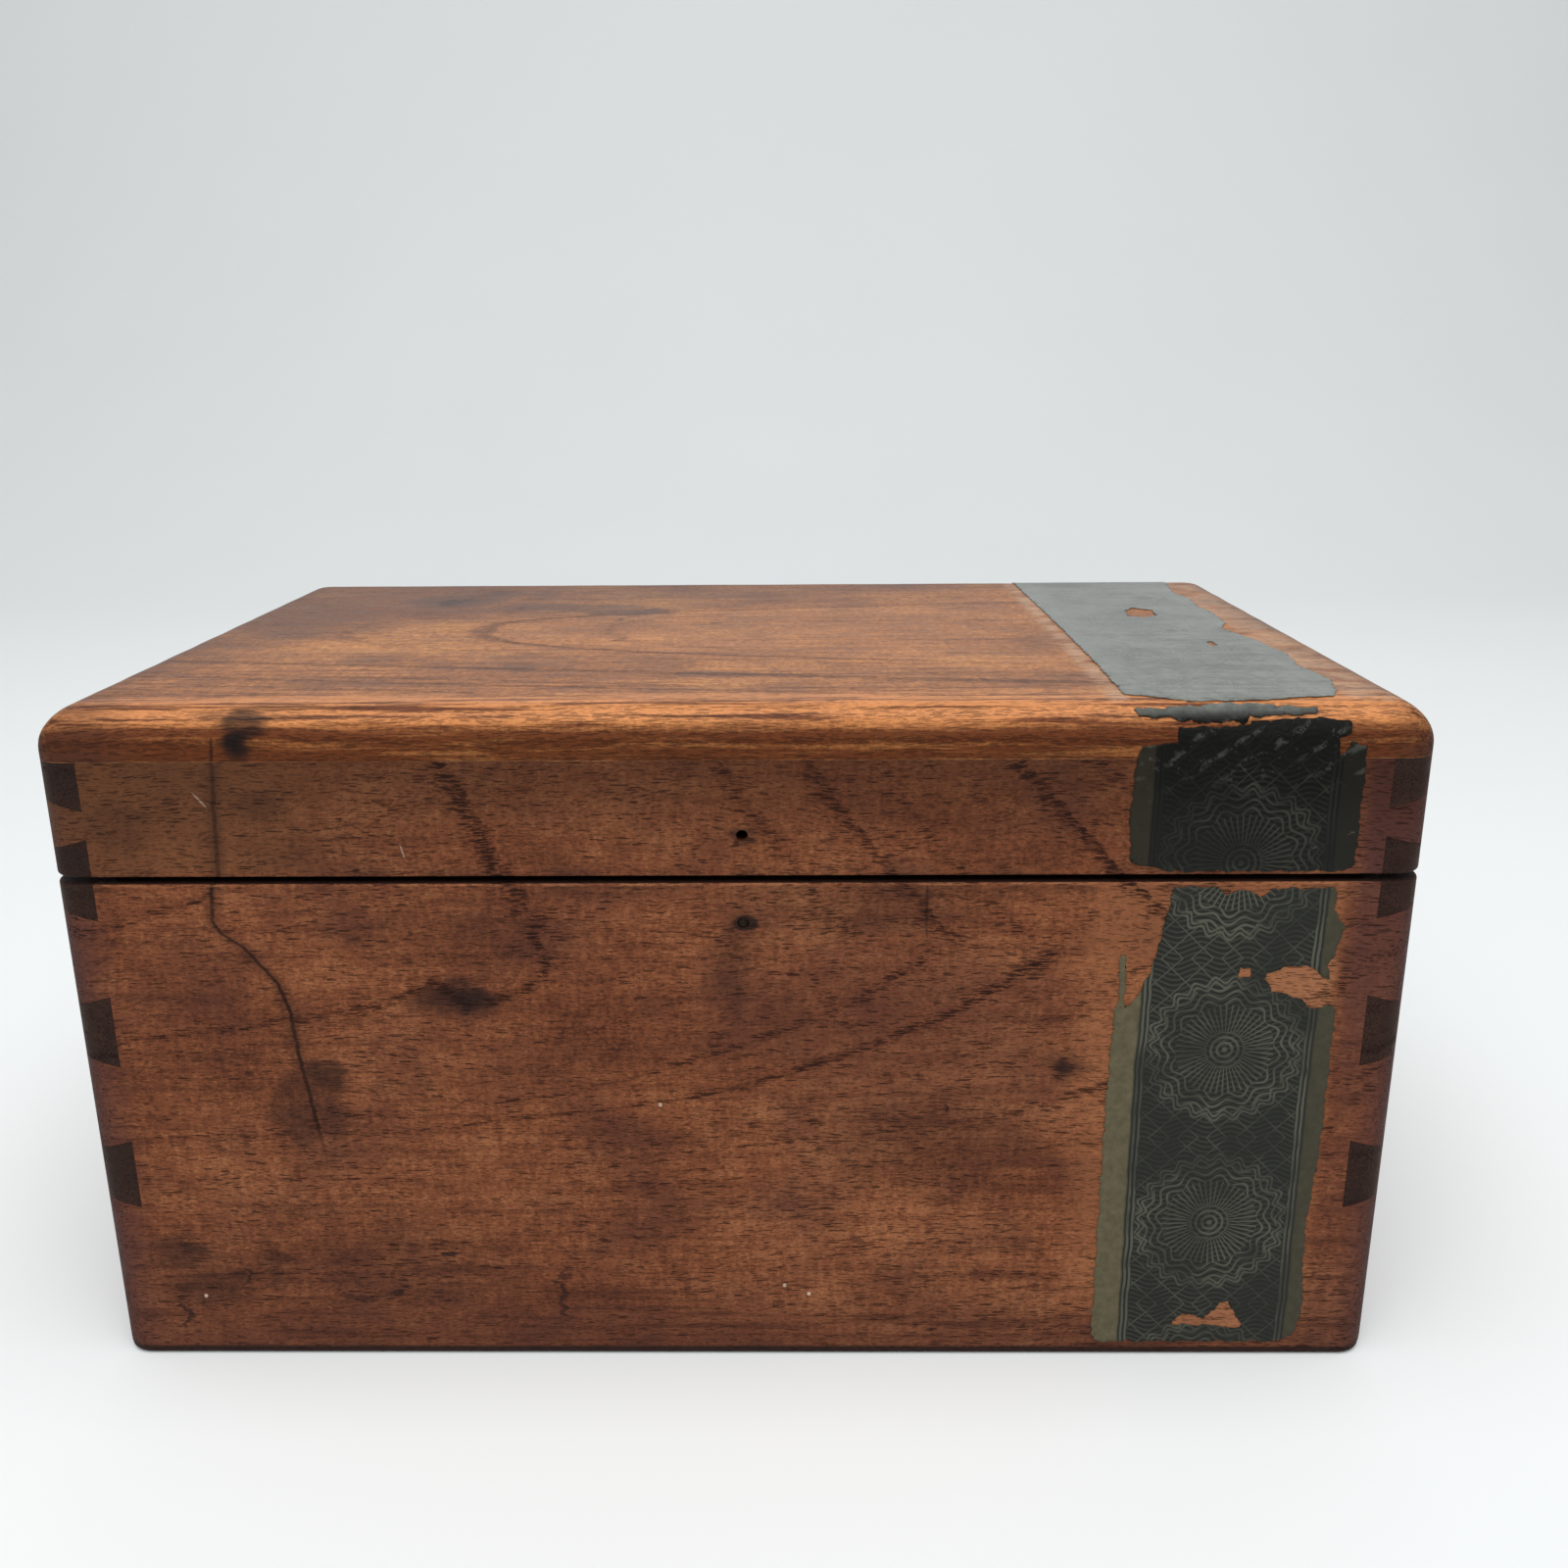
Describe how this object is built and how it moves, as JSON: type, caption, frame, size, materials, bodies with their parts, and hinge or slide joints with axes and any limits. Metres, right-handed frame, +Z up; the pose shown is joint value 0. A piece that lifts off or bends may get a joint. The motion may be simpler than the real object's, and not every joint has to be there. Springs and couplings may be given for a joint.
{
  "type": "cigar box",
  "caption": "Antique cedar cigar box with dovetailed corners, a sawn-off lid on two small butt hinges, an inner collar and torn remains of a dark paper seal.",
  "frame": {"origin": "middle of the underside, on the surface that the box stands on", "axes": "+X to the right along the front, +Y from the front to the hinged back, +Z up"},
  "size_m": [0.23, 0.1429, 0.1226],
  "materials": {
    "cedar_case": "worn satin varnish",
    "cedar_ends": "worn satin varnish",
    "cedar_top": "worn satin varnish",
    "cedar_lining": "bare planed wood",
    "hinge_brass": "tarnished",
    "iron": "rusty",
    "seal_paper": "worn print"
  },
  "bodies": {
    "base": {"base_front": "cedar_case", "base_back": "cedar_case", "base_left": "cedar_ends", "base_right": "cedar_ends", "base_bottom": "cedar_case", "collar_front": "cedar_lining", "collar_back": "cedar_lining", "collar_left": "cedar_lining", "collar_right": "cedar_lining", "hinge_left_base_leaf": "hinge_brass", "hinge_right_base_leaf": "hinge_brass", "hinge_left_pin": "iron", "hinge_right_pin": "iron", "hinge_base_nails": "iron", "catch_nail_stub": "iron", "seal_base_front": "seal_paper", "seal_base_back": "seal_paper"},
    "lid": {"lid_front": "cedar_case", "lid_back": "cedar_case", "lid_left": "cedar_ends", "lid_right": "cedar_ends", "lid_top": "cedar_top", "hinge_left_lid_leaf": "hinge_brass", "hinge_right_lid_leaf": "hinge_brass", "hinge_lid_nails": "iron", "seal_lid_front": "seal_paper", "seal_lid_scrap": "seal_paper", "seal_lid_top": "seal_paper"}
  },
  "joints": [
    {"name": "lid_hinge", "type": "hinge", "parent": "base", "child": "lid", "pos_m": [0, 0.0703, 0.0933], "axis": [-1, 0, 0], "range_deg": [0, 105]}
  ]
}
